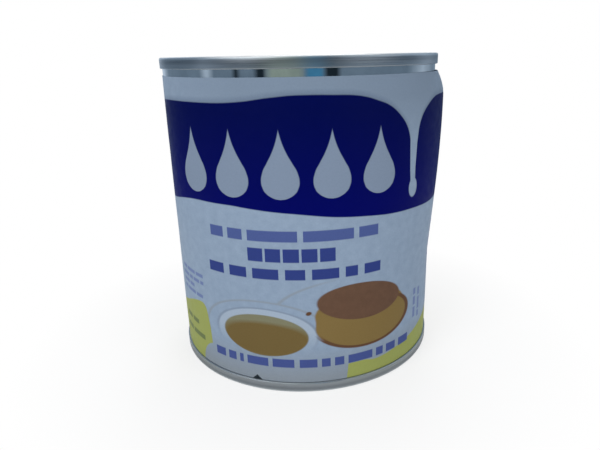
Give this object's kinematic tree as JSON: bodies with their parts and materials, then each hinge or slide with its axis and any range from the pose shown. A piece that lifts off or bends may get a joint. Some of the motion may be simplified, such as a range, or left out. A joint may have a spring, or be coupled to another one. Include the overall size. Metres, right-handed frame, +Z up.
{
  "type": "condensed milk can",
  "caption": "Shut round tin can with a rolled seam at each end, countersunk ends and a loose printed paper label.",
  "frame": {"origin": "middle of the ring at the foot of the lower seam, on the surface that the can stands on", "axes": "+Z up along the can's axis, -Y towards the printed front, +X towards the side where the label is slack"},
  "size_m": [0.0759, 0.0742, 0.082],
  "materials": {
    "tinplate": "bright rolled tinplate, slightly dulled",
    "label_paper": "coated paper printed in blue, white, yellow and caramel brown"
  },
  "bodies": {
    "root": {"can_body": "tinplate", "top_end": "tinplate", "bottom_end": "tinplate", "label": "label_paper"}
  },
  "joints": []
}
